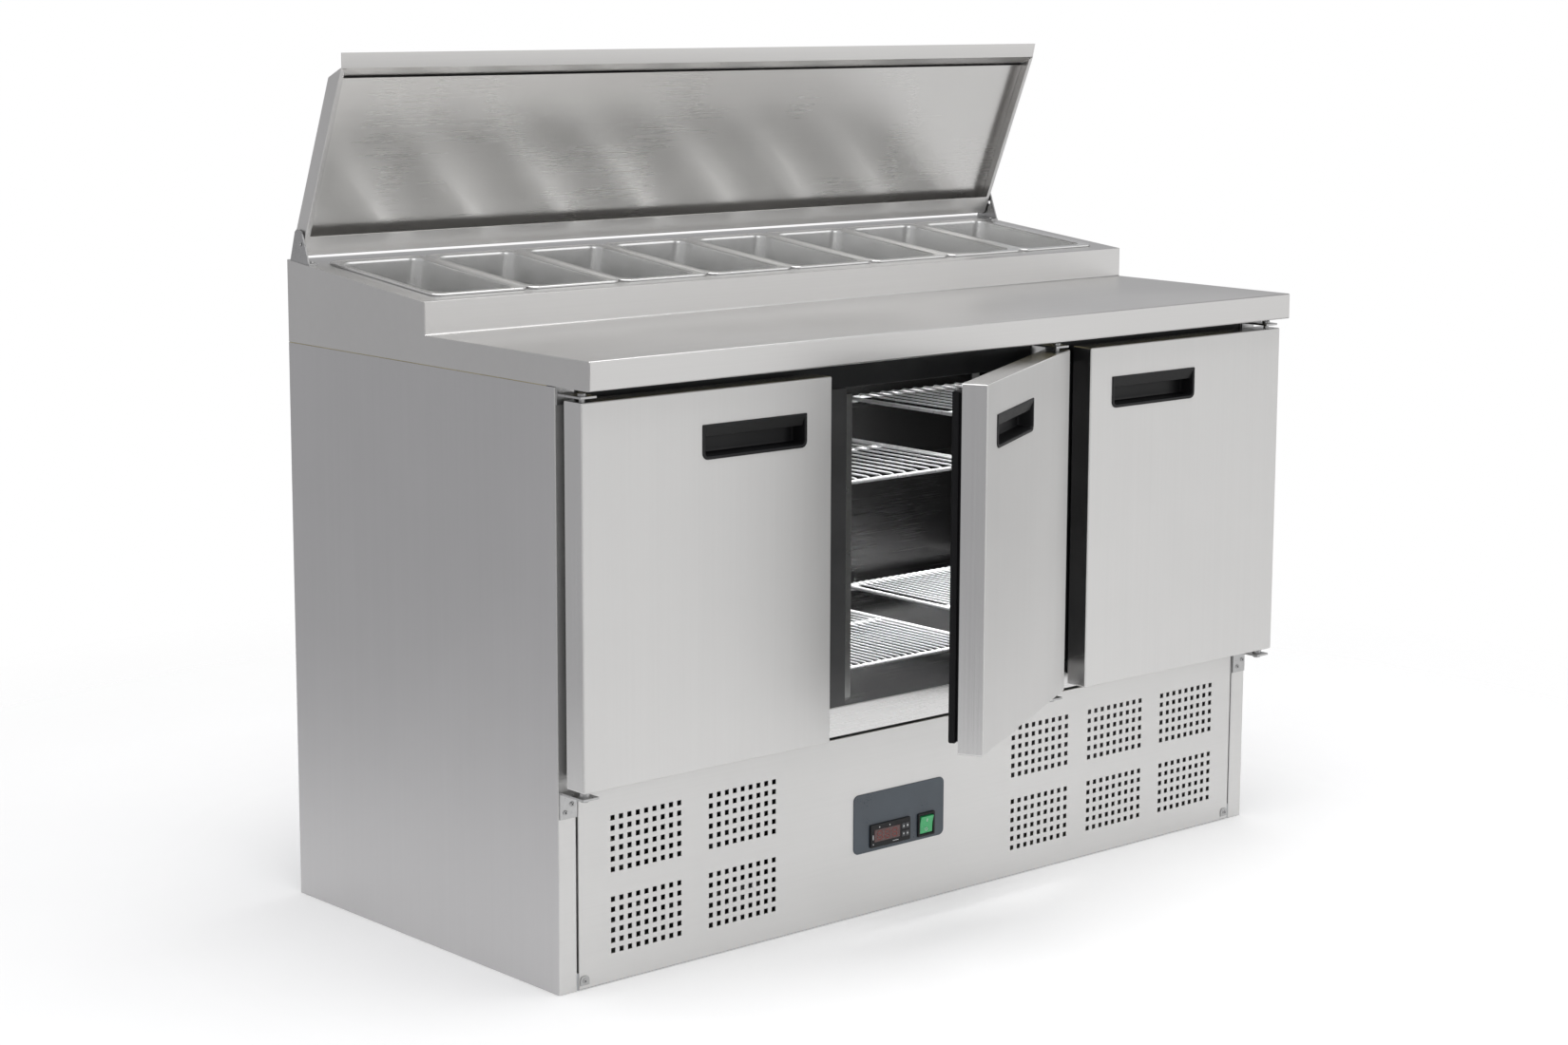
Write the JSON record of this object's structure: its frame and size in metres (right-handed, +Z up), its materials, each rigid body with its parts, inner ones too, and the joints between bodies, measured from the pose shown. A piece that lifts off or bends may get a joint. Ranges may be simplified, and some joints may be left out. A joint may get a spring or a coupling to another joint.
{
  "type": "refrigerated preparation counter",
  "caption": "Low refrigerated counter with hinged insulated doors, wire shelves, a flat worktop, a raised row of lift-out food pans under a hinged lid, and a perforated panel with controls.",
  "frame": {"origin": "centre of the cabinet's width and of its worktop's depth, on the floor under the base tray", "axes": "+Z up, -Y towards the doors' side, +X to the right seen from the doors' side"},
  "size_m": [1.365, 0.8799, 1.2214],
  "materials": {
    "stainless": "brushed",
    "galvanised": "satin",
    "foam": "matte",
    "inner_steel": "satin",
    "grey_plastic": "satin",
    "slate_plastic": "satin",
    "black_plastic": "satin",
    "key_plastic": "matte",
    "green_plastic": "gloss",
    "black_paint": "gloss",
    "fins": "satin",
    "fan_plastic": "matte",
    "copper": "polished",
    "wire": "polished",
    "bracket_steel": "satin",
    "pan_steel": "polished",
    "door_plastic": "satin",
    "gasket_rubber": "matte"
  },
  "bodies": {
    "cabinet": {"base_tray": "galvanised", "side_panel_left": "stainless", "side_panel_right": "stainless", "back_panel": "galvanised", "insulation": "foam", "liner": "inner_steel", "front_frame": "grey_plastic", "worktop": "stainless", "well_frame": "stainless", "pan_dividers": "stainless", "machine_panel": "stainless", "control_plate": "slate_plastic", "thermostat": "black_plastic", "rocker_bezel": "black_plastic", "compressor": "black_paint", "condenser": "fins", "fan_shroud": "black_paint", "evaporator": "fins", "drip_tray": "black_plastic", "pipework": "copper", "cord_gland": "black_plastic", "pilasters": "inner_steel", "shelf_clips": "inner_steel", "hinge_brackets": "bracket_steel", "pins_and_screws": "bracket_steel"},
    "door_left": {"door_left_shell": "stainless", "door_left_core": "door_plastic", "door_left_gasket": "gasket_rubber", "door_left_handle": "black_plastic"},
    "door_middle": {"door_middle_shell": "stainless", "door_middle_core": "door_plastic", "door_middle_gasket": "gasket_rubber", "door_middle_handle": "black_plastic"},
    "door_right": {"door_right_shell": "stainless", "door_right_core": "door_plastic", "door_right_gasket": "gasket_rubber", "door_right_handle": "black_plastic"},
    "lid": {"lid_shell": "stainless", "lid_liner": "inner_steel"},
    "pan_1": {"pan_1": "pan_steel"},
    "pan_2": {"pan_2": "pan_steel"},
    "pan_3": {"pan_3": "pan_steel"},
    "pan_4": {"pan_4": "pan_steel"},
    "pan_5": {"pan_5": "pan_steel"},
    "pan_6": {"pan_6": "pan_steel"},
    "pan_7": {"pan_7": "pan_steel"},
    "pan_8": {"pan_8": "pan_steel"},
    "shelf_left_low": {"shelf_left_low": "wire"},
    "shelf_left_high": {"shelf_left_high": "wire"},
    "shelf_middle_low": {"shelf_middle_low": "wire"},
    "shelf_middle_high": {"shelf_middle_high": "wire"},
    "shelf_right_low": {"shelf_right_low": "wire"},
    "shelf_right_high": {"shelf_right_high": "wire"},
    "key_1": {"key_1": "key_plastic"},
    "key_2": {"key_2": "key_plastic"},
    "key_3": {"key_3": "key_plastic"},
    "key_4": {"key_4": "key_plastic"},
    "rocker_switch": {"rocker_switch": "green_plastic"},
    "condenser_fan": {"condenser_fan": "fan_plastic"},
    "evaporator_fan": {"evaporator_fan": "fan_plastic"}
  },
  "joints": [
    {"name": "door_left_hinge", "type": "hinge", "parent": "cabinet", "child": "door_left", "pos_m": [-0.6675, -0.315, 0.54], "axis": [0, 0, -1], "range_deg": [0, 95]},
    {"name": "door_middle_hinge", "type": "hinge", "parent": "cabinet", "child": "door_middle", "pos_m": [0.19925, -0.315, 0.54], "axis": [0, 0, 1], "range_deg": [-29, 66]},
    {"name": "door_right_hinge", "type": "hinge", "parent": "cabinet", "child": "door_right", "pos_m": [0.6675, -0.315, 0.54], "axis": [0, 0, 1], "range_deg": [0, 95]},
    {"name": "lid_hinge", "type": "hinge", "parent": "cabinet", "child": "lid", "pos_m": [0, 0.329, 0.941], "axis": [-1, 0, 0], "range_deg": [-73.2, 0]},
    {"name": "pan_1_lift", "type": "slide", "parent": "cabinet", "child": "pan_1", "axis": [0, -0.0972, 0.9953], "range_m": [0, 0.11]},
    {"name": "pan_2_lift", "type": "slide", "parent": "cabinet", "child": "pan_2", "axis": [0, -0.0972, 0.9953], "range_m": [0, 0.11]},
    {"name": "pan_3_lift", "type": "slide", "parent": "cabinet", "child": "pan_3", "axis": [0, -0.0972, 0.9953], "range_m": [0, 0.11]},
    {"name": "pan_4_lift", "type": "slide", "parent": "cabinet", "child": "pan_4", "axis": [0, -0.0972, 0.9953], "range_m": [0, 0.11]},
    {"name": "pan_5_lift", "type": "slide", "parent": "cabinet", "child": "pan_5", "axis": [0, -0.0972, 0.9953], "range_m": [0, 0.11]},
    {"name": "pan_6_lift", "type": "slide", "parent": "cabinet", "child": "pan_6", "axis": [0, -0.0972, 0.9953], "range_m": [0, 0.11]},
    {"name": "pan_7_lift", "type": "slide", "parent": "cabinet", "child": "pan_7", "axis": [0, -0.0972, 0.9953], "range_m": [0, 0.11]},
    {"name": "pan_8_lift", "type": "slide", "parent": "cabinet", "child": "pan_8", "axis": [0, -0.0972, 0.9953], "range_m": [0, 0.11]},
    {"name": "shelf_left_low_lift", "type": "slide", "parent": "cabinet", "child": "shelf_left_low", "axis": [0, 0, 1], "range_m": [0, 0.02]},
    {"name": "shelf_left_high_lift", "type": "slide", "parent": "cabinet", "child": "shelf_left_high", "axis": [0, 0, 1], "range_m": [0, 0.02]},
    {"name": "shelf_middle_low_lift", "type": "slide", "parent": "cabinet", "child": "shelf_middle_low", "axis": [0, 0, 1], "range_m": [0, 0.02]},
    {"name": "shelf_middle_high_lift", "type": "slide", "parent": "cabinet", "child": "shelf_middle_high", "axis": [0, 0, 1], "range_m": [0, 0.02]},
    {"name": "shelf_right_low_lift", "type": "slide", "parent": "cabinet", "child": "shelf_right_low", "axis": [0, 0, 1], "range_m": [0, 0.02]},
    {"name": "shelf_right_high_lift", "type": "slide", "parent": "cabinet", "child": "shelf_right_high", "axis": [0, 0, 1], "range_m": [0, 0.02]},
    {"name": "key_1_press", "type": "slide", "parent": "cabinet", "child": "key_1", "axis": [0, 1, 0], "range_m": [0, 0.001], "stiffness_N_per_m": 300},
    {"name": "key_2_press", "type": "slide", "parent": "cabinet", "child": "key_2", "axis": [0, 1, 0], "range_m": [0, 0.001], "stiffness_N_per_m": 300},
    {"name": "key_3_press", "type": "slide", "parent": "cabinet", "child": "key_3", "axis": [0, 1, 0], "range_m": [0, 0.001], "stiffness_N_per_m": 300},
    {"name": "key_4_press", "type": "slide", "parent": "cabinet", "child": "key_4", "axis": [0, 1, 0], "range_m": [0, 0.001], "stiffness_N_per_m": 300},
    {"name": "rocker_tilt", "type": "hinge", "parent": "cabinet", "child": "rocker_switch", "pos_m": [-0.02, -0.2775, 0.114], "axis": [1, 0, 0], "range_deg": [-16, 0]},
    {"name": "condenser_fan_spin", "type": "hinge", "parent": "cabinet", "child": "condenser_fan", "pos_m": [-0.26, -0.12, 0.138], "axis": [0, -1, 0], "continuous": true},
    {"name": "evaporator_fan_spin", "type": "hinge", "parent": "cabinet", "child": "evaporator_fan", "pos_m": [0.4, 0.19, 0.748], "axis": [0, -1, 0], "continuous": true}
  ]
}
